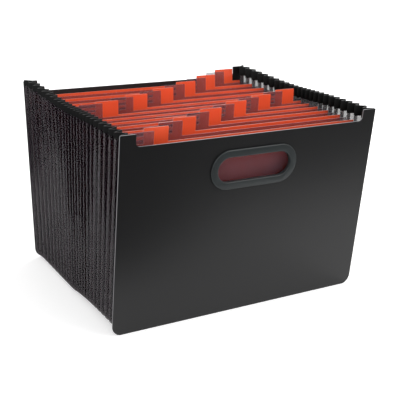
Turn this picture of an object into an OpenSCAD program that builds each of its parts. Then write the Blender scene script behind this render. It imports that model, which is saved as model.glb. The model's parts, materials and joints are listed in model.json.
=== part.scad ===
// Expanding file box for A4 paper on its side: two stiff covers, a pleated gusset round three
// sides, and a fan of dividers with stepped tabs. X is to the right, the front cover faces -Y,
// and the box stands on Z = 0. Every sheet leans a little, because the top is open wider than
// the floor.

/* [Covers] */
// Width of a cover, from side edge to side edge
cover_w = 335; // [280:1:420]
// Length of a cover up its own face, from the floor to the top of an ear
cover_h = 234.6; // [190:0.2:300]
// Thickness of a cover
cover_t = 1.6; // [1:0.1:3]
// Radius of a cover's two bottom corners
corner_r = 12.6; // [11:0.1:16]
// Width of an ear, the part of the top edge that is not cut down
ear_w = 18.6; // [16:0.1:30]
// Depth of the cut-down top edge below the ears
notch_d = 13.8; // [8:0.2:25]
// Radius of the two inner corners of the cut-down edge
notch_r = 5; // [2:0.5:8]
// Radius of the corners at the top of an ear
ear_r = 1.5; // [0.5:0.5:4]

/* [Opening of the fan] */
// Depth of the open box at the top of the covers
depth_top = 291.5; // [220:0.5:360]
// How far the bottom of the front cover stands behind its top
front_lean = 16; // [0:1:30]
// How far the bottom of the back cover stands before its top
back_lean = 30; // [0:0.5:36]
// How far dividers near the front stand behind an even spread, and those near the back before it,
// in pockets
spread_wave = 1; // [0:0.1:1.8]
// How far the middle dividers stand before an even spread, in pockets
spread_forward = 0.9; // [0:0.1:1.5]

/* [Gusset] */
// Depth of the pleats, from outer fold to valley along the middle of the sheet
pleat_d = 10.4; // [8:0.2:14]
// Thickness of the pleated sheet
gusset_t = 0.4; // [0.3:0.05:0.6]
// How far the taped outer folds stay inside the covers' side edges
fold_inset = 0.3; // [0.2:0.1:2]
// Height of the outer folds of the pleated floor above the surface it stands on
floor_clear = 0.8; // [0.5:0.1:3]
// How much higher the pleated floor is joined to the front cover
front_lift = 5.6; // [0:0.2:8]
// Share of the folds, from the front, over which the floor comes down from there
lifted_share = 0.55; // [0.2:0.05:1]
// How far the pleats' top edge sags between the covers
film_sag = 3; // [0:0.2:5]
// Share of the folds, from the front, at which it sags most
sag_share = 0.62; // [0.4:0.02:0.8]
// Radius of the valleys where the side turns into the floor
valley_r = 2; // [1:0.5:4]
// Clearance where a pleated sheet is joined to a cover or to the next sheet
join_gap = 0.35; // [0.3:0.05:0.6]

/* [Binding tape] */
// How far the tape reaches down the outside of the pleats
tape_h = 7.2; // [4:0.2:9]
// How far the tape reaches down the inside of the pleats
tape_inner_h = 9.8; // [4:0.2:12]
// Thickness of the tape on each face of the pleats
tape_t = 0.3; // [0.2:0.05:0.5]
// How far the tape's upper edge stays below the top of the ears
tape_drop = 0.4; // [0:0.1:2.5]
// Clearance between the tape and the pleats inside it
tape_gap = 0.1; // [0.05:0.05:0.2]

/* [Dividers] */
// Thickness of a divider
divider_t = 0.6; // [0.4:0.1:1]
// How far a divider's top edge, beside its tab, stays below the top of the ears
divider_drop = 18.2; // [12:0.2:30]
// Clearance between a divider's edges and the valleys that hold it
seat_gap = 0.35; // [0.3:0.05:0.6]
// Radius of a divider's two bottom corners
divider_r = 3.5; // [3:0.5:8]
// Number of tab places across the box
tab_places = 12; // [4:1:12]
// Width of a tab
tab_w = 29.5; // [16:0.5:50]
// Height of a tab above the divider's top edge
tab_h = 17.2; // [10:0.2:22]
// Room left on the right of the last tab place
tab_margin = 12; // [0:0.5:40]
// Radius of a tab's corners
tab_r = 1.2; // [0.5:0.1:5]

/* [Handle] */
// Length of the hand hole, inside the ring
hole_l = 96; // [80:1:130]
// Height of the hand hole, inside the ring
hole_h = 29; // [22:1:40]
// Depth of the hand hole's middle below the top of an ear, measured on the cover
hole_drop = 53; // [50:0.5:80]
// Width of the ring's face round the hand hole
rim_w = 8.8; // [5:0.2:14]
// Thickness of the ring's face
rim_t = 1.9; // [1.2:0.1:4]
// Bevel at the ring's outer edge
rim_bevel = 0.7; // [0.3:0.1:1]
// Radius of the ring's inner edge
rim_round = 1.2; // [0.4:0.1:1.2]
// Thickness of the barrel that passes through the cover
barrel_t = 2.2; // [1.2:0.1:4]
// Clearance between the barrel and the hole cut in the cover
barrel_gap = 0.2; // [0.1:0.05:0.5]
// Thickness of the backing behind the cover
backing_t = 1.4; // [1:0.1:1.6]
// How much smaller the backing is than the ring's face, all round
backing_inset = 1.5; // [0:0.1:3]
// Clearance between the backing and the barrel it snaps on
snap_gap = 0.1; // [0.05:0.05:0.3]

/* [Hidden] */
// One divider stands in each valley of the pleats
dividers = 24;
function two_digits(k) = str(k < 10 ? "0" : "", k);
DIVIDER_NAMES = [for (k = [1 : dividers]) str("divider_", two_digits(k))];

$fn = 64;
BLACK = [0.13, 0.13, 0.14];
RING_GREY = [0.22, 0.24, 0.24];
SMOKE = [0.42, 0.38, 0.42, 0.6];
GUSSET_SMOKE = [0.27, 0.25, 0.28, 0.9];
ORANGE = [0.93, 0.3, 0.12, 0.9];
TAPE_BLACK = [0.05, 0.05, 0.05];

half_w = cover_w / 2;
folds = 2 * dividers;
// The middles of the covers, at the top and on the floor
front_top = -depth_top / 2 + cover_t / 2;
front_foot = front_top + front_lean;
back_top = depth_top / 2 - cover_t / 2;
back_foot = back_top - back_lean;
// The pleats run at a slant, so a thickness across a pleat is more than the sheet's own
half_pitch = depth_top / folds;
slant = sqrt(pow(half_pitch, 2) + pow(pleat_d, 2)) / half_pitch;
fold_t = gusset_t * slant;
slot_t = fold_t + 2 * tape_gap * slant;
tape_total = slot_t + 2 * tape_t * slant;
// The first and last folds stand this far from the middle of a cover
end_gap = cover_t / 2 + join_gap;
// The folds seen from the front, on the middle of the sheet
fold_x = half_w - fold_inset - tape_total / 2;
fold_z = floor_clear + fold_t / 2;
fold_r = corner_r - fold_inset - tape_total / 2;
valley_x = fold_x - pleat_d;
valley_z = fold_z + pleat_d;
tape_top = cover_h - tape_drop;
gusset_top = tape_top - tape_t - tape_gap;
// A cover's outline starts this far below the floor, where the cover is cut off level
sole = cover_t / 4;
corner_steps = 4;
arc_steps = 12;
divider_half_w = valley_x - fold_t / 2 - seat_gap;
divider_foot = valley_z + fold_t / 2 + seat_gap;
divider_top = cover_h - divider_drop;
// The tabs reach up between the taped valleys
tab_row_x = valley_x - tape_total / 2 - seat_gap;
tab_step = (2 * tab_row_x - tab_margin - tab_w) / (tab_places - 1);
// The hand hole's outline is a slot with round ends
hole_z = cover_h - hole_drop;
hole_r = hole_h / 2;
hole_straight = hole_l - hole_h;
barrel_r = hole_r + barrel_t;
rim_r = hole_r + rim_w;
backing_r = rim_r - backing_inset;

// The fan: where the sheet at a share of the folds stands, 0 at the front and 1 at the back
function along(a, b, share) = a + (b - a) * share;
function spread(share) = share
    + (spread_wave * sin(360 * share) - spread_forward * sin(180 * share)) / dividers;
function foot_y(share) = along(front_foot + end_gap, back_foot - end_gap, spread(share));
function top_y(share) = along(front_top + end_gap, back_top - end_gap, spread(share));
function lean_of(foot, top) = asin((foot - top) / cover_h);
function fan_y(share, z) = foot_y(share) - z * tan(lean_of(foot_y(share), top_y(share)));
function lift(share) = front_lift * max(0, 1 - pow(share / lifted_share, 3));
// The sag grows from nothing at one cover to its most at sag_share, and back to nothing
sag_power = log(0.5) / log(sag_share);
function sag(share) = film_sag * pow(sin(180 * pow(share, sag_power)), 2);

// Stands a flat outline up on the floor at foot, leaning so that its top comes to top
module stand(foot, top, t) {
    translate([0, foot, 0])
        rotate([90 + lean_of(foot, top), 0, 0])
            linear_extrude(height = t, center = true)
                children();
}

// An outline's points from its corners [x, y, radius]: each square corner becomes an arc
function flat(c) = [c[0], c[1]];
function unit(v) = v / norm(v);
function rounded(corners) = let (n = len(corners)) [for (i = [0 : n - 1])
    let (
        r = corners[i][2],
        way_in = unit(flat(corners[i]) - flat(corners[(i + n - 1) % n])),
        way_out = unit(flat(corners[(i + 1) % n]) - flat(corners[i])),
        centre = flat(corners[i]) - r * way_in + r * way_out
    )
    for (a = r > 0 ? [0 : 90 / arc_steps : 90] : [0])
        centre - r * cos(a) * way_out + r * sin(a) * way_in];

// A slot with round ends, r in radius, round the middle of the hand hole
module slot_outline(r) {
    translate([-hole_straight / 2, hole_z - r]) square([hole_straight, 2 * r]);
    for (side = [-1, 1]) translate([side * hole_straight / 2, hole_z]) circle(r);
}

module cover_outline() {
    notch_x = half_w - ear_w;
    notch_y = cover_h - notch_d;
    difference() {
        polygon(rounded([
            [-half_w, -sole, corner_r],
            [half_w, -sole, corner_r],
            [half_w, cover_h, ear_r],
            [notch_x, cover_h, ear_r],
            [notch_x, notch_y, notch_r],
            [-notch_x, notch_y, notch_r],
            [-notch_x, cover_h, ear_r],
            [-half_w, cover_h, ear_r]
        ]));
        slot_outline(barrel_r + barrel_gap);
    }
}

// A cover, cut off level where it stands on the floor
module cover(foot, top) {
    color(BLACK) difference() {
        stand(foot, top, cover_t) cover_outline();
        translate([-cover_w, foot - cover_w / 2, -cover_w]) cube([2 * cover_w, cover_w, cover_w]);
    }
}

module front_cover() {
    cover(front_foot, front_top);
}

module back_cover() {
    cover(back_foot, back_top);
}

// The ring's section: how far out from the slot's middle line, and how far before the cover's face
function ring_section() = let (tail = -(cover_t + backing_t)) concat(
    [[hole_r, tail], [barrel_r, tail], [barrel_r, 0], [rim_r, 0]],
    [[rim_r, rim_t - rim_bevel], [rim_r - rim_bevel, rim_t]],
    [for (a = [0 : 15 : 90])
        [hole_r + rim_round * (1 - sin(a)), rim_t - rim_round * (1 - cos(a))]]
);

// Sweeps a section round the hand hole's slot, with the face side towards +Z
module round_slot(section) {
    for (side = [0, 1]) mirror([side, 0, 0]) {
        translate([hole_straight / 2, 0, 0])
            rotate([0, 0, -90]) rotate_extrude(angle = 180) polygon(section);
        translate([-hole_straight / 2, 0, 0])
            rotate([90, 0, 90]) linear_extrude(height = hole_straight) polygon(section);
        translate([-hole_straight / 2, 0, 0])
            rotate([90, 0, 90]) linear_extrude(height = hole_straight)
                mirror([1, 0]) polygon(section);
    }
}

// Carries a piece drawn round the hand hole, face up, to the outer face of a cover
module on_front_face() {
    translate([0, front_foot, 0]) rotate([90 + lean_of(front_foot, front_top), 0, 0])
        translate([0, hole_z, cover_t / 2]) children();
}

module on_back_face() {
    translate([0, back_foot, 0]) rotate([90 + lean_of(back_foot, back_top), 0, 0])
        translate([0, hole_z, -cover_t / 2]) rotate([0, 180, 0]) children();
}

module ring() {
    color(RING_GREY) union() round_slot(ring_section());
}

module backing() {
    color(RING_GREY)
        translate([0, -hole_z, -(cover_t + backing_t)]) linear_extrude(height = backing_t)
            difference() {
                slot_outline(backing_r);
                slot_outline(barrel_r + snap_gap);
            }
}

module front_handle_ring() {
    on_front_face() ring();
}

module front_handle_backing() {
    on_front_face() backing();
}

module back_handle_ring() {
    on_back_face() ring();
}

module back_handle_backing() {
    on_back_face() backing();
}

// A divider's sheet from its foot up, with its tab at the given place, counted from the left
module divider_outline(place, foot) {
    tab_x = -tab_row_x + (place - 1) * tab_step;
    tab_top = divider_top + tab_h;
    polygon(rounded([
        [-divider_half_w, foot, divider_r],
        [divider_half_w, foot, divider_r],
        [divider_half_w, divider_top, 0],
        [tab_x + tab_w, divider_top, 0],
        [tab_x + tab_w, tab_top, tab_r],
        [tab_x, tab_top, tab_r],
        [tab_x, divider_top, 0],
        [-divider_half_w, divider_top, 0]
    ]));
}

module divider(k) {
    share = (2 * k - 1) / folds;
    color(k % 2 == 1 ? SMOKE : ORANGE)
        stand(foot_y(share), top_y(share), divider_t)
            divider_outline((k - 1) % tab_places + 1, divider_foot + lift(share));
}

// The folds seen from the front, as points [x, z] on the left side: an outer fold follows the
// cover's edge, and a valley runs pleat_d further in. The face is the sheet's outer or inner face,
// 1 or -1. Angles run round the bottom corner from level to straight down.
function corner_arc(outer, face, from, to) = let (
    x = outer ? fold_x : valley_x,
    z = outer ? fold_z : valley_z,
    middle_r = outer ? fold_r : valley_r,
    r = middle_r + face * fold_t / 2,
    mitre = asin(join_gap / 2 / r)
) [for (i = [0 : corner_steps])
    let (a = along(from == 45 ? from + mitre : from, to == 45 ? to - mitre : to, i / corner_steps))
    [middle_r - x - r * cos(a), z + middle_r - r * sin(a)]];
function side_line(outer, face) = concat(
    [[-(outer ? fold_x : valley_x) - face * fold_t / 2, gusset_top]],
    corner_arc(outer, face, 0, 45)
);
function mirrored(points) = [for (i = [len(points) - 1 : -1 : 0]) [-points[i][0], points[i][1]]];
function floor_line(outer, face) = let (left = corner_arc(outer, face, 45, 90))
    concat(left, mirrored(left));
// A pleated sheet's faces go fold by fold along the outer line and the valley line by turns. The
// floor and its corners are lifted, and the top edge sags.
function pleated_face(outer_line, valley_line) =
    [for (j = [0 : folds], p = j % 2 == 0 ? outer_line : valley_line)
        let (z = p[1] + (p[1] < gusset_top ? lift(j / folds) : -sag(j / folds)))
        [p[0], fan_y(j / folds, z), z]];

// A grid of points in rows and columns, closed into one solid: the points of the near face come
// first, row by row, and then those of the far face
module sheet_solid(near, far) {
    rows = folds + 1;
    n = len(near);
    columns = n / rows;
    function at(r, c, side) = side * n + r * columns + c;
    function quad(a, b, c, d) = [[a, b, c], [a, c, d]];
    faces = concat(
        [for (r = [0 : rows - 2], c = [0 : columns - 2], f = quad(
            at(r, c, 0), at(r, c + 1, 0), at(r + 1, c + 1, 0), at(r + 1, c, 0))) f],
        [for (r = [0 : rows - 2], c = [0 : columns - 2], f = quad(
            at(r, c, 1), at(r + 1, c, 1), at(r + 1, c + 1, 1), at(r, c + 1, 1))) f],
        [for (r = [0 : rows - 2], f = quad(
            at(r, 0, 0), at(r + 1, 0, 0), at(r + 1, 0, 1), at(r, 0, 1))) f],
        [for (r = [0 : rows - 2], f = quad(
            at(r, columns - 1, 0), at(r, columns - 1, 1),
            at(r + 1, columns - 1, 1), at(r + 1, columns - 1, 0))) f],
        [for (c = [0 : columns - 2], f = quad(
            at(0, c, 0), at(0, c, 1), at(0, c + 1, 1), at(0, c + 1, 0))) f],
        [for (c = [0 : columns - 2], f = quad(
            at(rows - 1, c, 0), at(rows - 1, c + 1, 0),
            at(rows - 1, c + 1, 1), at(rows - 1, c, 1))) f]
    );
    polyhedron(points = concat(near, far), faces = faces);
}

module left_gusset() {
    color(GUSSET_SMOKE) sheet_solid(
        pleated_face(side_line(true, 1), side_line(false, 1)),
        pleated_face(side_line(true, -1), side_line(false, -1)));
}

module right_gusset() {
    mirror([1, 0, 0]) left_gusset();
}

module bottom_gusset() {
    color(GUSSET_SMOKE) sheet_solid(
        pleated_face(floor_line(true, 1), floor_line(false, 1)),
        pleated_face(floor_line(true, -1), floor_line(false, -1)));
}

// The tape's section across a pleat: an inverted channel that takes the pleats' top edge
function tape_section() = let (
    a = tape_total / 2,
    b = slot_t / 2,
    low = tape_top - tape_h,
    inner_low = tape_top - tape_inner_h,
    roof = tape_top - tape_t
) concat(
    [[-a, low], [-a, tape_top], [a, tape_top], [a, inner_low]],
    [[b, inner_low], [b, roof], [-b, roof], [-b, low]]
);

module left_binding() {
    section = tape_section();
    n = len(section);
    points = [for (j = [0 : folds], p = section)
        let (z = p[1] - sag(j / folds))
        [p[0] - (j % 2 == 0 ? fold_x : valley_x), fan_y(j / folds, z), z]];
    function next(i) = (i + 1) % n;
    sides = [for (j = [0 : folds - 1], i = [0 : n - 1], f = [
        [j * n + i, (j + 1) * n + next(i), j * n + next(i)],
        [j * n + i, (j + 1) * n + i, (j + 1) * n + next(i)]]) f];
    // The channel's two legs and its roof close each end
    caps = [[0, 1, 6, 7], [1, 2, 5, 6], [2, 3, 4, 5]];
    ends = [for (q = caps, f = [[q[0], q[1], q[2]], [q[0], q[2], q[3]]]) f];
    far_ends = [for (f = ends) [for (i = [2 : -1 : 0]) folds * n + f[i]]];
    color(TAPE_BLACK) polyhedron(points = points, faces = concat(sides, ends, far_ends));
}

module right_binding() {
    mirror([1, 0, 0]) left_binding();
}

front_cover();
front_handle_ring();
front_handle_backing();
back_cover();
back_handle_ring();
back_handle_backing();
for (k = [1 : dividers])
    divider(k);
left_gusset();
right_gusset();
bottom_gusset();
left_binding();
right_binding();
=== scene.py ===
"""The looks of an expanding file box for A4 paper on its side: two black covers with hand
holes, smoke pleats bound with black tape, and a fan of smoke and orange dividers."""
import json
import math
import random

import bmesh
import bpy
from mathutils import Matrix, Vector


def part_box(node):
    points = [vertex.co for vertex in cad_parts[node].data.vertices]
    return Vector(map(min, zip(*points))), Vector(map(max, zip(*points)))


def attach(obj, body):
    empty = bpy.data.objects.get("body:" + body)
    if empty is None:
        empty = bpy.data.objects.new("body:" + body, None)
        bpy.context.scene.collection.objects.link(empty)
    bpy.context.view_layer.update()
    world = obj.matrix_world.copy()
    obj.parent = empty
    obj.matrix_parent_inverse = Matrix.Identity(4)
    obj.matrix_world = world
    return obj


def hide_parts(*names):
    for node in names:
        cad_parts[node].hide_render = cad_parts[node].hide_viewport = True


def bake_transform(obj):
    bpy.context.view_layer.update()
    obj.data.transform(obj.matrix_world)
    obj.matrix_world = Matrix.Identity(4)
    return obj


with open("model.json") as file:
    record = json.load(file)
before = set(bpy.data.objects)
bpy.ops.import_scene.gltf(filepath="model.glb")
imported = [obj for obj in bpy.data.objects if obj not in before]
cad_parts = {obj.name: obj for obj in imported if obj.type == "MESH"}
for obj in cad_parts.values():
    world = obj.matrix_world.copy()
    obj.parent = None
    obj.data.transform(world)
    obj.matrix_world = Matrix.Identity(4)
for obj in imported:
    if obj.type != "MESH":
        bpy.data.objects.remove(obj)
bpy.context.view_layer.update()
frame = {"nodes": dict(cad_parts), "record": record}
MM = 0.001

# The camera stands to the left of the box and above it, and is turned a little clockwise. It
# looks a little past the middle of the box.
CAMERA_AZIMUTH = math.radians(-30.934)
CAMERA_ELEVATION = math.radians(19.486)
CAMERA_ROLL = math.radians(2.411)
CAMERA_DISTANCE = 1.08275
CAMERA_AIM = (0.011623, -0.020145)  # to the right of the middle, and up
CAMERA_LENS = 76.26
middle = Vector((0, -0.00275, 0.117))
back = Vector((
    math.sin(CAMERA_AZIMUTH) * math.cos(CAMERA_ELEVATION),
    -math.cos(CAMERA_AZIMUTH) * math.cos(CAMERA_ELEVATION),
    math.sin(CAMERA_ELEVATION),
))
level_right = Vector((0, 0, 1)).cross(back).normalized()
level_up = back.cross(level_right)
right = math.cos(CAMERA_ROLL) * level_right + math.sin(CAMERA_ROLL) * level_up
up = math.cos(CAMERA_ROLL) * level_up - math.sin(CAMERA_ROLL) * level_right
camera = bpy.data.objects.new("Camera", bpy.data.cameras.new("Camera"))
camera.data.lens = CAMERA_LENS
camera.data.sensor_width = 36
camera.matrix_world = Matrix((right, up, back)).transposed().to_4x4()
camera.location = middle + CAMERA_AIM[0] * right + CAMERA_AIM[1] * up + CAMERA_DISTANCE * back
bpy.context.scene.collection.objects.link(camera)
bpy.context.scene.camera = camera

# The covers are stiff sheets of black polypropylene with a fine matt grain, stamped out with a
# rounded foot and a cut-down top edge. The stamped edge is painted paler grey than the face, a
# painted highlight of the light that its cut edge catches.
COVER_EDGE_ROUNDING = 0.25 * MM
GRAIN_SIZE = 0.8 * MM
GRAIN_HEIGHT = 0.05 * MM
COVER_BLACK = "#131314"
CUT_EDGE_HIGHLIGHT_GREY = "#77777a"
COVER_ROUGHNESS = (0.34, 0.42)
COVER_SPECULAR = 0.36


def linear(hex_colour):
    """An sRGB hex colour as linear red, green, blue and alpha."""
    channels = [int(hex_colour[i:i + 2], 16) / 255 for i in (1, 3, 5)]
    return (*[c / 12.92 if c <= 0.04045 else ((c + 0.055) / 1.055) ** 2.4 for c in channels], 1)


def add(tree, kind, inputs=(), **settings):
    """Adds a node with its settings. inputs maps a socket to a value or another node's output."""
    node = tree.nodes.new(kind)
    for key, value in settings.items():
        setattr(node, key, value)
    for key, value in dict(inputs).items():
        if isinstance(value, bpy.types.NodeSocket):
            tree.links.new(value, node.inputs[key])
        else:
            node.inputs[key].default_value = value
    return node


def empty_material(name):
    """A material with a Principled shader and nothing else. Returns it, its tree and shader."""
    material = bpy.data.materials.new(name)
    material.use_nodes = True
    tree = material.node_tree
    tree.nodes.clear()
    shader = add(tree, "ShaderNodeBsdfPrincipled")
    add(tree, "ShaderNodeOutputMaterial", {"Surface": shader.outputs[0]})
    return material, tree, shader


def softened(node, edge, arc_area=40 * MM * MM):
    """A merged copy of a CAD piece with its edges rounded and its cut edges marked."""
    bm = bmesh.new()
    bm.from_mesh(frame["nodes"][node].data)
    bmesh.ops.remove_doubles(bm, verts=bm.verts, dist=0.002 * MM)
    bmesh.ops.dissolve_limit(
        bm, angle_limit=math.radians(0.4), verts=bm.verts, edges=bm.edges)
    face_normal = max(bm.faces, key=lambda f: f.calc_area()).normal.copy()
    sharp = [e for e in bm.edges if e.is_manifold and e.calc_face_angle() > math.radians(30)]
    bmesh.ops.bevel(
        bm, geom=sharp, offset=edge, segments=2, profile=0.6, affect="EDGES",
        clamp_overlap=True)
    for face in bm.faces:
        face.smooth = face.calc_area() < arc_area
    cut = bm.faces.layers.float.new("cut_edge")
    for face in bm.faces:
        face[cut] = 1 - abs(face.normal.dot(face_normal))
    return bm


def finished(bm, name, material):
    """Turns a bmesh into an object that wears one material."""
    mesh = bpy.data.meshes.new(name)
    bm.to_mesh(mesh)
    bm.free()
    mesh.materials.append(material)
    piece = bpy.data.objects.new(name, mesh)
    bpy.context.scene.collection.objects.link(piece)
    return piece


matt_black, tree, shader = empty_material("Matt black polypropylene sheet")
place = add(tree, "ShaderNodeTexCoord").outputs["Object"]
cut_edge = add(tree, "ShaderNodeAttribute", attribute_name="cut_edge").outputs["Fac"]
# The cut edges are painted pale grey, a painted highlight of the light they catch
colour = add(tree, "ShaderNodeMix", {
    "Factor": cut_edge, 6: linear(COVER_BLACK), 7: linear(CUT_EDGE_HIGHLIGHT_GREY)}, data_type="RGBA")
tree.links.new(colour.outputs[2], shader.inputs["Base Color"])
# Handling leaves the grain a little smoother in places
handled = add(tree, "ShaderNodeTexNoise", {"Vector": place, "Scale": 9.0, "Detail": 3.0})
roughness = add(tree, "ShaderNodeMapRange", {
    "Value": handled.outputs["Fac"], "To Min": COVER_ROUGHNESS[0],
    "To Max": COVER_ROUGHNESS[1]})
tree.links.new(roughness.outputs[0], shader.inputs["Roughness"])
shader.inputs["Specular IOR Level"].default_value = COVER_SPECULAR
grain = add(tree, "ShaderNodeTexNoise", {
    "Vector": place, "Scale": 1 / GRAIN_SIZE, "Detail": 2.0}).outputs["Fac"]
bump = add(tree, "ShaderNodeBump", {
    "Strength": 0.25, "Distance": GRAIN_HEIGHT, "Height": grain})
tree.links.new(bump.outputs[0], shader.inputs["Normal"])

for side in ("front", "back"):
    cover = finished(softened(f"{side}_cover", COVER_EDGE_ROUNDING), f"cover_{side}", matt_black)
    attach(cover, side)
    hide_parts(f"{side}_cover")

# The handle is two mouldings: a ring whose barrel passes through the cover's hand hole, and a
# flat backing that snaps on it behind. Both are dark grey and satin, with softened edges.
RING_ROUNDING = 0.25 * MM
RING_GREYS = ("#222627", "#292e2f")
RING_ROUGHNESS = 0.36
RING_SPECULAR = 0.4

satin_grey, tree, shader = empty_material("Moulded satin grey plastic")
place = add(tree, "ShaderNodeTexCoord").outputs["Object"]
flow = add(tree, "ShaderNodeTexNoise", {"Vector": place, "Scale": 60.0, "Detail": 2.0})
colour = add(tree, "ShaderNodeMix", {
    "Factor": flow.outputs["Fac"], 6: linear(RING_GREYS[0]), 7: linear(RING_GREYS[1])},
    data_type="RGBA")
tree.links.new(colour.outputs[2], shader.inputs["Base Color"])
shader.inputs["Roughness"].default_value = RING_ROUGHNESS
shader.inputs["Specular IOR Level"].default_value = RING_SPECULAR
bump = add(tree, "ShaderNodeBump", {
    "Strength": 0.1, "Distance": GRAIN_HEIGHT, "Height": flow.outputs["Fac"]})
tree.links.new(bump.outputs[0], shader.inputs["Normal"])

for side in ("front", "back"):
    for part in ("ring", "backing"):
        node = f"{side}_handle_{part}"
        moulding = finished(softened(node, RING_ROUNDING), f"handle_{part}_{side}", satin_grey)
        moulding.data.shade_smooth()
        moulding.data.set_sharp_from_angle(angle=math.radians(40))
        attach(moulding, side)
        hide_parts(node)

# The dividers are thin polypropylene sheets, smoke and orange by turns. Each is cut with its own
# tab and welded into a valley of the pleats. A thin sheet never hangs quite flat.
DIVIDERS = 24
SHEET_EDGE_ROUNDING = 0.14 * MM
SHEET_BOW = 0.7 * MM  # the furthest that a sheet's top middle stands off its flat
BOW_STEPS = 16
BOW_SEED = 24
SHEET_SPECULAR = 0.5


def sheet_material(name, face, cut, alpha, roughness):
    """Thin translucent polypropylene. Its cut edge is painted paler, a painted highlight of the
    light that runs inside it.
    """
    material, tree, shader = empty_material(name)
    place = add(tree, "ShaderNodeTexCoord").outputs["Object"]
    cut_edge = add(tree, "ShaderNodeAttribute", attribute_name="cut_edge").outputs["Fac"]
    cloud = add(tree, "ShaderNodeTexNoise", {"Vector": place, "Scale": 25.0, "Detail": 2.0})
    shade = add(tree, "ShaderNodeMapRange", {
        "Value": cloud.outputs["Fac"], "To Min": 0.9, "To Max": 1.1})
    cloudy = add(tree, "ShaderNodeMix", {
        "Factor": 1.0, 6: linear(face), 7: shade.outputs[0]},
        data_type="RGBA", blend_type="MULTIPLY")
    # The cut edge takes the paler cut colour, a painted highlight
    colour = add(tree, "ShaderNodeMix", {
        "Factor": cut_edge, 6: cloudy.outputs[2], 7: linear(cut)}, data_type="RGBA")
    tree.links.new(colour.outputs[2], shader.inputs["Base Color"])
    shader.inputs["Roughness"].default_value = roughness
    shader.inputs["Specular IOR Level"].default_value = SHEET_SPECULAR
    shader.inputs["Alpha"].default_value = alpha
    grain = add(tree, "ShaderNodeTexNoise", {"Vector": place, "Scale": 1 / GRAIN_SIZE})
    bump = add(tree, "ShaderNodeBump", {
        "Strength": 0.03, "Distance": GRAIN_HEIGHT, "Height": grain.outputs["Fac"]})
    tree.links.new(bump.outputs[0], shader.inputs["Normal"])
    return material


# The last colour of each sheet is its cut edge's painted highlight
smoke_sheet = sheet_material("Smoke polypropylene sheet", "#5b4852", "#e8dce2", 0.43, 0.2)
orange_sheet = sheet_material("Orange polypropylene sheet", "#ff5f38", "#ffd0c0", 0.9, 0.24)

sheet_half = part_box("divider_24")[1].x
sheet_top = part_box("divider_24")[1].z
draw = random.Random(BOW_SEED)
for number in range(1, DIVIDERS + 1):
    node = f"divider_{number:02d}"
    bm = softened(node, SHEET_EDGE_ROUNDING, 1 * MM * MM)
    for step in range(1, BOW_STEPS):
        cut_x = -sheet_half + step * 2 * sheet_half / BOW_STEPS
        bmesh.ops.bisect_plane(
            bm, geom=bm.verts[:] + bm.edges[:] + bm.faces[:],
            plane_co=(cut_x, 0, 0), plane_no=(1, 0, 0))
    bow = draw.uniform(-SHEET_BOW, SHEET_BOW)
    sway = draw.uniform(-SHEET_BOW, SHEET_BOW) / 2
    for vertex in bm.verts:
        across = vertex.co.x / sheet_half
        height = vertex.co.z / sheet_top
        vertex.co.y += height * (
            bow * math.cos(across * math.pi / 2) + sway * math.sin(across * math.pi))
    smoky = number % 2 == 1
    sheet = finished(bm, f"sheet_{number:02d}", smoke_sheet if smoky else orange_sheet)
    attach(sheet, node)
    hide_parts(node)

# The gussets are one thin smoke film, pleated on a folding machine and mitred at the bottom
# corners. Each pleat runs down one side, round the corner, under the box and up again. Its outer
# folds follow the covers' edge, and its valleys hold the dividers.
FOLDS = 2 * DIVIDERS
ROWS_PER_PANEL = 8
FOLD_SHARPNESS = 0.97
PLEAT_DEPTH = 10.4 * MM
CORNER_RADIUS = 12.6 * MM  # of the covers
VALLEY_RADIUS = 2 * MM
CORNER_STEPS = 8
UPRIGHT_STEPS = 10
END_GAP = 1.15 * MM  # from the middle of a cover to the fold that is welded to it
FRONT_LIFT = 5.6 * MM  # the floor is welded that much higher to the front cover
LIFTED_SHARE = 0.55
FILM_SAG = 3 * MM  # of the top edge, a little behind the middle
SAG_SHARE = 0.62
FOLD_WANDER = 3 * MM
FILM_BILLOW = 1 * MM
HELD_DEPTH = 8 * MM  # below the top edge, where the tape still holds the folds in line
LOOSE_DEPTH = 50 * MM
HALF_MITRE_GAP = 0.175 * MM
side_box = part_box("left_gusset")
film_width = side_box[1].x - side_box[0].x - PLEAT_DEPTH  # across the pleats
fold_x = -side_box[0].x - film_width / 2
fold_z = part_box("bottom_gusset")[0].z + film_width / 2
fold_radius = CORNER_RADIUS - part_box("front_cover")[1].x + fold_x
film_top = side_box[1].z


def standing(node):
    """Where a leaning sheet's middle meets the floor, and how far it comes forward per height."""
    corners = [v.co for v in frame["nodes"][node].data.vertices]
    middle_y = sum(c.y for c in corners) / len(corners)
    middle_z = sum(c.z for c in corners) / len(corners)
    slope = -(sum((c.z - middle_z) * (c.y - middle_y) for c in corners)
              / sum((c.z - middle_z) ** 2 for c in corners))
    return middle_y + slope * middle_z, slope


def section_object(name, points, attributes):
    """A row of loose points with attributes, for the node tree to read."""
    mesh = bpy.data.meshes.new(name)
    mesh.from_pydata(points, [], [])
    for key, kind, values in attributes:
        attribute = mesh.attributes.new(key, kind, "POINT")
        attribute.data.foreach_set("vector" if kind == "FLOAT_VECTOR" else "value", values)
    row = bpy.data.objects.new(name, mesh)
    bpy.context.scene.collection.objects.link(row)
    return row


# The fan: every valley stands where its divider does, and an outer fold halfway between two
fan = [None] * (FOLDS + 1)
for number in range(1, DIVIDERS + 1):
    fan[2 * number - 1] = standing(f"divider_{number:02d}")
front_foot, front_slope = standing("front_cover")
back_foot, back_slope = standing("back_cover")
fan[0] = (front_foot + END_GAP, front_slope)
fan[FOLDS] = (back_foot - END_GAP, back_slope)
for fold in range(2, FOLDS, 2):
    fan[fold] = [(a + b) / 2 for a, b in zip(fan[fold - 1], fan[fold + 1])]
fan_row = section_object("fan", [(0, 0, 0)] * len(fan), [
    ("foot", "FLOAT", [foot for foot, slope in fan]),
    ("slope", "FLOAT", [slope for foot, slope in fan])])


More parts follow.
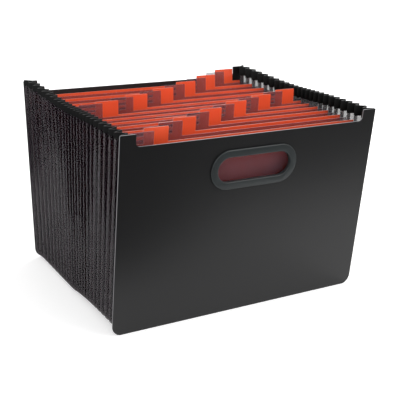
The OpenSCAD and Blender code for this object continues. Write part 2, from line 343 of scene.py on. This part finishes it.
def pleat_tree():
    """Lays a section out fold by fold along the fan, and joins the rows into a pleated sheet."""
    tree = bpy.data.node_groups.new("Pleats", "GeometryNodeTree")
    for name, kind in (
            ("Section", "Geometry"), ("Fan", "Object"), ("Folds", "Int"),
            ("Rows per panel", "Int"), ("Sharpness", "Float"), ("Film top", "Float"),
            ("Corner top", "Float"), ("Lift", "Float"), ("Lifted share", "Float"),
            ("Sag", "Float"), ("Sag power", "Float"), ("Wander", "Float"), ("Billow", "Float"),
            ("Material", "Material")):
        tree.interface.new_socket(name, in_out="INPUT", socket_type="NodeSocket" + kind)
    tree.interface.new_socket("Sheet", in_out="OUTPUT", socket_type="NodeSocketGeometry")
    given = add(tree, "NodeGroupInput").outputs

    def calc(operation, *values, clamp=False):
        return add(tree, "ShaderNodeMath", dict(enumerate(values)), operation=operation,
                   use_clamp=clamp).outputs[0]

    def sample(geometry, name, kind, at):
        value = add(tree, "GeometryNodeInputNamedAttribute", {"Name": name}, data_type=kind)
        return add(tree, "GeometryNodeSampleIndex", {
            "Geometry": geometry, "Value": value.outputs[0], "Index": at},
            data_type=kind).outputs[0]

    columns = add(tree, "GeometryNodeAttributeDomainSize", {
        "Geometry": given["Section"]}).outputs["Point Count"]
    rows = calc("MULTIPLY_ADD", given["Folds"], given["Rows per panel"], 1.0)
    grid = add(tree, "GeometryNodeMeshGrid", {"Vertices X": rows, "Vertices Y": columns})
    index = add(tree, "GeometryNodeInputIndex").outputs[0]
    row = calc("FLOOR", calc("DIVIDE", calc("ADD", index, 0.5), columns))
    column = calc("ROUND", calc("SUBTRACT", index, calc("MULTIPLY", row, columns)))
    # Rows crowd together near the folds, where the film turns
    steps = calc("DIVIDE", row, given["Rows per panel"])
    panel = calc("FLOOR", calc("ADD", steps, 0.0001))
    part = calc("SUBTRACT", steps, panel)
    crowd = calc("DIVIDE", calc("SINE", calc("MULTIPLY", part, 2 * math.pi)), 2.5 * math.pi)
    fold = calc("ADD", panel, calc("SUBTRACT", part, crowd))
    # A zigzag with rounded tips: 0 on an outer fold and 1 in a valley
    swing = calc("ARCSINE", calc("MULTIPLY", given["Sharpness"], calc(
        "COSINE", calc("MULTIPLY", fold, math.pi))))
    reach = calc("MULTIPLY", calc("ARCSINE", given["Sharpness"]), 2.0)
    inward = calc("SUBTRACT", 0.5, calc("DIVIDE", swing, reach))
    outer = sample(given["Section"], "outer", "FLOAT_VECTOR", column)
    valley = sample(given["Section"], "valley", "FLOAT_VECTOR", column)
    flat = add(tree, "ShaderNodeMix", {
        "Factor": inward, 4: outer, 5: valley}, data_type="VECTOR").outputs[1]
    x, _, z = add(tree, "ShaderNodeSeparateXYZ", {0: flat}).outputs
    # The floor and its corners are lifted near the front, and the top edge sags behind the middle
    share = calc("DIVIDE", fold, given["Folds"])
    rise = calc("SUBTRACT", 1.0, calc("POWER", calc(
        "DIVIDE", share, given["Lifted share"]), 3.0), clamp=True)
    low = add(tree, "ShaderNodeMapRange", {
        "Value": z, "From Min": given["Film top"], "From Max": given["Corner top"]}).outputs[0]
    z = calc("ADD", z, calc("MULTIPLY", calc("MULTIPLY", rise, low), given["Lift"]))
    bow = calc("SINE", calc("MULTIPLY", calc("POWER", share, given["Sag power"]), math.pi))
    sag = calc("MULTIPLY", calc("MULTIPLY", bow, bow), given["Sag"])
    z = calc("SUBTRACT", z, calc("MULTIPLY", sag, calc("SUBTRACT", 1.0, low)))
    # Below the tape the outer folds wander a little, and the film billows between its folds
    loose = add(tree, "ShaderNodeMapRange", {
        "Value": z, "From Min": calc("SUBTRACT", given["Film top"], HELD_DEPTH),
        "From Max": calc("SUBTRACT", given["Film top"], LOOSE_DEPTH)}).outputs[0]
    inner_folds = calc("MULTIPLY", calc("DIVIDE", fold, 2.0, clamp=True), calc(
        "DIVIDE", calc("SUBTRACT", given["Folds"], fold), 2.0, clamp=True))
    loose = calc("MULTIPLY", loose, inner_folds)
    nearest = calc("FLOOR", calc("ADD", calc("DIVIDE", fold, 2.0), 0.5))
    panel_seed = calc("FLOOR", calc("ADD", fold, 0.0001))
    shifts = []
    for seed, scale, amount in (
            (nearest, 2.0, given["Wander"]), (panel_seed, 6.0, given["Billow"])):
        where = add(tree, "ShaderNodeCombineXYZ", {
            0: calc("MULTIPLY", seed, 3.7), 2: calc("MULTIPLY", z, scale)}).outputs[0]
        noise = add(tree, "ShaderNodeTexNoise", {
            "Vector": where, "Scale": 1.0, "Detail": 1.0}).outputs[0]
        shifts.append(calc("MULTIPLY", calc("MULTIPLY", calc(
            "SUBTRACT", noise, 0.5), amount), loose))
    outerness = calc("POWER", calc("SUBTRACT", 1.0, inward), 2.0)
    wander = calc("MULTIPLY", shifts[0], outerness)
    between = calc("MULTIPLY", calc("MULTIPLY", inward, calc("SUBTRACT", 1.0, inward)), 4.0)
    billow = calc("MULTIPLY", shifts[1], between)
    # The fan says where each fold stands and how it leans
    last = calc("MINIMUM", calc("ADD", calc("FLOOR", fold), 1.0), given["Folds"])
    fan_points = add(tree, "GeometryNodeObjectInfo", {"Object": given["Fan"]}).outputs["Geometry"]
    stand = []
    for name in ("foot", "slope"):
        before = sample(fan_points, name, "FLOAT", calc("FLOOR", fold))
        after = sample(fan_points, name, "FLOAT", last)
        stand.append(add(tree, "ShaderNodeMix", {
            "Factor": calc("FRACT", fold), 2: before, 3: after}).outputs[0])
    y = calc("ADD", calc("SUBTRACT", stand[0], calc("MULTIPLY", z, stand[1])), wander)
    position = add(tree, "ShaderNodeCombineXYZ", {0: calc("ADD", x, billow), 1: y, 2: z})
    placed = add(tree, "GeometryNodeSetPosition", {
        "Geometry": grid.outputs["Mesh"], "Position": position.outputs[0]}).outputs[0]
    marked = add(tree, "GeometryNodeStoreNamedAttribute", {
        "Geometry": placed, "Name": "fold", "Value": fold}).outputs[0]
    closed = add(tree, "GeometryNodeMergeByDistance", {
        "Geometry": marked, "Distance": 0.001 * MM}).outputs[0]
    real = add(tree, "GeometryNodeRealizeInstances", {"Geometry": closed}).outputs[0]
    dressed = add(tree, "GeometryNodeSetMaterial", {
        "Geometry": real, "Material": given["Material"]}).outputs[0]
    add(tree, "NodeGroupOutput", {"Sheet": dressed})
    return tree


pleats = pleat_tree()


def pleated(name, outer, valley, material, **changes):
    """Makes a pleated piece from a closed section, given on an outer fold and in a valley."""
    row = section_object(name + "_section", outer, [
        ("outer", "FLOAT_VECTOR", [c for point in outer for c in point]),
        ("valley", "FLOAT_VECTOR", [c for point in valley for c in point])])
    modifier = row.modifiers.new("Pleats", "NODES")
    modifier.node_group = pleats
    settings = {
        "Fan": fan_row, "Folds": FOLDS, "Rows per panel": ROWS_PER_PANEL,
        "Sharpness": FOLD_SHARPNESS, "Film top": film_top,
        "Corner top": fold_z + fold_radius, "Lifted share": LIFTED_SHARE, "Sag": FILM_SAG,
        "Sag power": math.log(0.5) / math.log(SAG_SHARE), "Material": material, **changes}
    for socket in pleats.interface.items_tree:
        if socket.name in settings:
            modifier[socket.identifier] = settings[socket.name]
    bpy.context.view_layer.update()
    evaluated = row.evaluated_get(bpy.context.evaluated_depsgraph_get())
    mesh = bpy.data.meshes.new_from_object(evaluated)
    mesh.name = name
    bpy.data.objects.remove(row)
    bm = bmesh.new()
    bm.from_mesh(mesh)
    bmesh.ops.holes_fill(bm, edges=[e for e in bm.edges if e.is_boundary])
    bmesh.ops.triangulate(bm, faces=[f for f in bm.faces if len(f.verts) > 4])
    bmesh.ops.recalc_face_normals(bm, faces=bm.faces)
    bm.to_mesh(mesh)
    bm.free()
    mesh.shade_smooth()
    mesh.set_sharp_from_angle(angle=math.radians(50))
    piece = bpy.data.objects.new(name, mesh)
    bpy.context.scene.collection.objects.link(piece)
    return piece


# The share of the front cover's travel that each fold takes: its divider's own share in a valley
shares = [1.0] + [0.0] * FOLDS
for number, coupling in enumerate(frame["record"]["behaviour"]["couplings"], start=1):
    shares[2 * number - 1] = coupling["ratio"]
for fold in range(2, FOLDS, 2):
    shares[fold] = (shares[fold - 1] + shares[fold + 1]) / 2


def follow_covers(piece):
    """Bakes a pleated piece's placement into its mesh and reads the fold number of each point."""
    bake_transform(piece)
    folds = [0.0] * len(piece.data.vertices)
    piece.data.attributes["fold"].data.foreach_get("value", folds)


def corner(x, z, radius, face, start, end):
    """Points round a bottom corner of the film on one face, from level to straight down."""
    r = radius + face * film_width / 2
    points = []
    for step in range(CORNER_STEPS + 1):
        angle = math.radians(start + (end - start) * step / CORNER_STEPS)
        points.append((radius - x - r * math.cos(angle), 0, z + radius - r * math.sin(angle)))
    return points


def film_section(outer, of_side):
    """The closed section of the film on a fold: the outer face, then the inner face back."""
    inset = 0 if outer else PLEAT_DEPTH
    x, z = fold_x - inset, fold_z + inset
    radius = fold_radius if outer else VALLEY_RADIUS
    mitre = math.degrees(HALF_MITRE_GAP / radius)
    loop = []
    for face in (1, -1):
        if of_side:
            bend = z + radius
            points = [
                (-x - face * film_width / 2, 0, film_top + (bend - film_top) * i / UPRIGHT_STEPS)
                for i in range(UPRIGHT_STEPS)] + corner(x, z, radius, face, 0, 45 - mitre)
        else:
            left = corner(x, z, radius, face, 45 + mitre, 90)
            points = left + [(-px, 0, pz) for px, _, pz in reversed(left)]
        loop += points if face == 1 else points[::-1]
    return loop + loop[:1]


def mirrored(points):
    return [(-x, y, z) for x, y, z in points]


# Thin and glossy: the box's inside shows through it dimly, and the room mirrors in it
FILM_SHADES = ("#181116", "#2b2028")
# The crease grey is partly whitening and partly a painted highlight
CREASE_WHITENING_AND_HIGHLIGHT_GREY = "#8a7f88"
FILM_ROUGHNESS = 0.14
FILM_ALPHA = 0.52
FILM_SPECULAR = (0.75, 0.25)  # beside an outer fold, and further in

smoke_film, tree, shader = empty_material("Smoke polypropylene film")
place = add(tree, "ShaderNodeTexCoord").outputs["Object"]
fold_number = add(tree, "ShaderNodeAttribute", attribute_name="fold").outputs["Fac"]
streak = add(tree, "ShaderNodeTexNoise", {
    "W": fold_number, "Scale": 1.3, "Detail": 2.0}, noise_dimensions="1D")
shade = add(tree, "ShaderNodeMix", {
    "Factor": streak.outputs["Fac"], 6: linear(FILM_SHADES[0]), 7: linear(FILM_SHADES[1])},
    data_type="RGBA")
# Along its outer folds the film is painted paler: partly the whitening that folding leaves, and
# partly a painted highlight of the light the folds catch. Towards the valleys its specular level
# is turned down, which darkens the panels there.
off_fold = add(tree, "ShaderNodeMath", {0: fold_number, 1: 1.0}, operation="PINGPONG")
crease_whitening_and_highlight = add(tree, "ShaderNodeMapRange", {
    "Value": off_fold.outputs[0], "From Max": 0.2, "To Min": 0.25, "To Max": 0.0})
gloss = add(tree, "ShaderNodeMapRange", {
    "Value": off_fold.outputs[0], "From Min": 0.05, "From Max": 0.4,
    "To Min": FILM_SPECULAR[0], "To Max": FILM_SPECULAR[1]})
tree.links.new(gloss.outputs[0], shader.inputs["Specular IOR Level"])
# The outer folds are painted paler grey: partly whitening, partly a painted highlight
colour = add(tree, "ShaderNodeMix", {
    "Factor": crease_whitening_and_highlight.outputs[0], 6: shade.outputs[2], 7: linear(CREASE_WHITENING_AND_HIGHLIGHT_GREY)},
    data_type="RGBA")
tree.links.new(colour.outputs[2], shader.inputs["Base Color"])
shader.inputs["Roughness"].default_value = FILM_ROUGHNESS
shader.inputs["Alpha"].default_value = FILM_ALPHA
ripple = add(tree, "ShaderNodeTexNoise", {"Vector": place, "Scale": 120.0, "Detail": 2.0})
bump = add(tree, "ShaderNodeBump", {
    "Strength": 0.02, "Distance": 0.2 * MM, "Height": ripple.outputs["Fac"]})
tree.links.new(bump.outputs[0], shader.inputs["Normal"])

for name, of_side, turn in (
        ("left", True, list), ("right", True, mirrored), ("bottom", False, list)):
    gusset = pleated(
        f"film_{name}", turn(film_section(True, of_side)), turn(film_section(False, of_side)),
        smoke_film, Lift=FRONT_LIFT, Wander=FOLD_WANDER, Billow=FILM_BILLOW)
    follow_covers(gusset)
    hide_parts(f"{name}_gusset")

# The binding is a strip of black plastic tape, folded over the top edge of the film before it
# was pleated, so it zigzags with it. It reaches further down the inside than the outside.
TAPE_THICKNESS = 0.3 * MM
OUTER_LEG = 7.2 * MM
TAPE_BLACKS = ("#060707", "#0e1010")
TAPE_ROUGHNESS = 0.5
TAPE_SPECULAR = 0.15
tape_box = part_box("left_binding")
tape_half = (tape_box[1].x - tape_box[0].x - PLEAT_DEPTH) / 2
slot_half = film_width / 2 * 1.5  # half as wide again as the film


def tape_section(outer):
    """The tape's section: an inverted channel whose upper edges are rounded."""
    x = fold_x - (0 if outer else PLEAT_DEPTH)
    low, high = tape_box[0].z, tape_box[1].z
    roof, bend = high - TAPE_THICKNESS, TAPE_THICKNESS
    section = [
        (-tape_half, high - OUTER_LEG), (-tape_half, high - bend), (-tape_half + bend, high),
        (tape_half - bend, high), (tape_half, high - bend), (tape_half, low),
        (slot_half, low), (slot_half, roof), (-slot_half, roof), (-slot_half, high - OUTER_LEG)]
    loop = [(across - x, 0, z) for across, z in section]
    return loop + loop[:1]


black_tape, tree, shader = empty_material("Black binding tape")
place = add(tree, "ShaderNodeTexCoord").outputs["Object"]
crease = add(tree, "ShaderNodeTexNoise", {"Vector": place, "Scale": 400.0, "Detail": 2.0})
shade = add(tree, "ShaderNodeMix", {
    "Factor": crease.outputs["Fac"], 6: linear(TAPE_BLACKS[0]), 7: linear(TAPE_BLACKS[1])},
    data_type="RGBA")
tree.links.new(shade.outputs[2], shader.inputs["Base Color"])
shader.inputs["Roughness"].default_value = TAPE_ROUGHNESS
shader.inputs["Specular IOR Level"].default_value = TAPE_SPECULAR
bump = add(tree, "ShaderNodeBump", {
    "Strength": 0.3, "Distance": 0.1 * MM, "Height": crease.outputs["Fac"]})
tree.links.new(bump.outputs[0], shader.inputs["Normal"])

for name, turn in (("left", list), ("right", mirrored)):
    binding = pleated(
        f"tape_{name}", turn(tape_section(True)), turn(tape_section(False)), black_tape,
        Lift=0.0, Wander=0.0, Billow=0.0)
    follow_covers(binding)
    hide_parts(f"{name}_binding")
bpy.data.objects.remove(fan_row)

# The box stands on a white studio table. For the eye and for the glossy plastics the table and
# the room glow white, and the table keeps the box's soft shadow.
TABLE_HALF = 8.0
TABLE_GLOW = 0.4
TABLE_DROP = 0.2 * MM
tabletop = bmesh.new()
bmesh.ops.create_grid(tabletop, x_segments=1, y_segments=1, size=TABLE_HALF)
white_table, tree, shader = empty_material("White table")
shader.inputs["Base Color"].default_value = (0.9, 0.9, 0.9, 1)
shader.inputs["Roughness"].default_value = 0.9
shader.inputs["Specular IOR Level"].default_value = 0.0
shader.inputs["Emission Color"].default_value = (1, 1, 1, 1)


def seen_directly(tree):
    """1 for the eye, for mirrored rays and for rays through clear things, and 0 for others."""
    ray = add(tree, "ShaderNodeLightPath").outputs
    mirrored_too = add(tree, "ShaderNodeMath", {
        0: ray["Is Camera Ray"], 1: ray["Is Glossy Ray"]}, operation="MAXIMUM").outputs[0]
    return add(tree, "ShaderNodeMath", {
        0: mirrored_too, 1: ray["Is Transmission Ray"]}, operation="MAXIMUM").outputs[0]


glow = add(tree, "ShaderNodeMath", {0: seen_directly(tree), 1: TABLE_GLOW}, operation="MULTIPLY")
tree.links.new(glow.outputs[0], shader.inputs["Emission Strength"])
table = finished(tabletop, "table", white_table)
table.location.z = -TABLE_DROP

world = bpy.data.worlds.new("Studio")
bpy.context.scene.world = world
world.use_nodes = True
tree = world.node_tree
tree.nodes.clear()
room = add(tree, "ShaderNodeBackground", {"Color": (1, 1, 1, 1), "Strength": 0.9})
white = add(tree, "ShaderNodeBackground", {"Color": (1, 1, 1, 1), "Strength": 1.0})
either = add(tree, "ShaderNodeMixShader", {
    0: seen_directly(tree), 1: room.outputs[0], 2: white.outputs[0]})
add(tree, "ShaderNodeOutputWorld", {"Surface": either.outputs[0]})

# Black cards lie on the table out of the picture's sight. The covers and the film mirror them,
# which keeps the plastics dark towards the top.
black_card, tree, shader = empty_material("Black card")
shader.inputs["Base Color"].default_value = (0.01, 0.01, 0.01, 1)
shader.inputs["Specular IOR Level"].default_value = 0.0
CARDS = {
    "card_front": [
        (-1.6, -1.0), (-1.21, -0.98), (-0.746, -0.75), (-0.43, -0.476), (-0.29, -0.33),
        (-0.22, -0.25), (-0.08, -0.25), (0.05, -0.33), (0.15, -0.38), (0.6, -0.40), (2.5, -0.44),
        (2.5, -3.0), (-2.4, -3.0)],
    "card_left": [
        (-0.80, -0.36), (-1.13, -0.63), (-1.45, -0.93), (-3.0, -2.4), (-3.0, 0.8), (-0.8, 0.3)],
}
for name, outline in CARDS.items():
    bm = bmesh.new()
    bm.faces.new([bm.verts.new((x, y, 0)) for x, y in outline])
    bm.normal_update()
    card = finished(bm, name, black_card)
    card.location.z = TABLE_DROP
    card.visible_camera = False
    card.visible_shadow = False
    card.visible_diffuse = False

LAMPS = {  # place, size across, power in watts
    "key": ((0.9, -1.1, 1.5), 1.2, 11),
    "fill": ((-1.4, -0.6, 1.1), 1.2, 3),
    "rim": ((0.74, 0.84, 1.24), 0.4, 8),
}
for name, (place, size, power) in LAMPS.items():
    lamp = bpy.data.objects.new(name, bpy.data.lights.new(name, "AREA"))
    lamp.data.shape = "DISK"
    lamp.data.size = size
    lamp.data.energy = power
    lamp.location = place
    lamp.rotation_euler = (middle - Vector(place)).to_track_quat("-Z", "Y").to_euler()
    bpy.context.scene.collection.objects.link(lamp)

bpy.context.scene.view_settings.view_transform = "Standard"
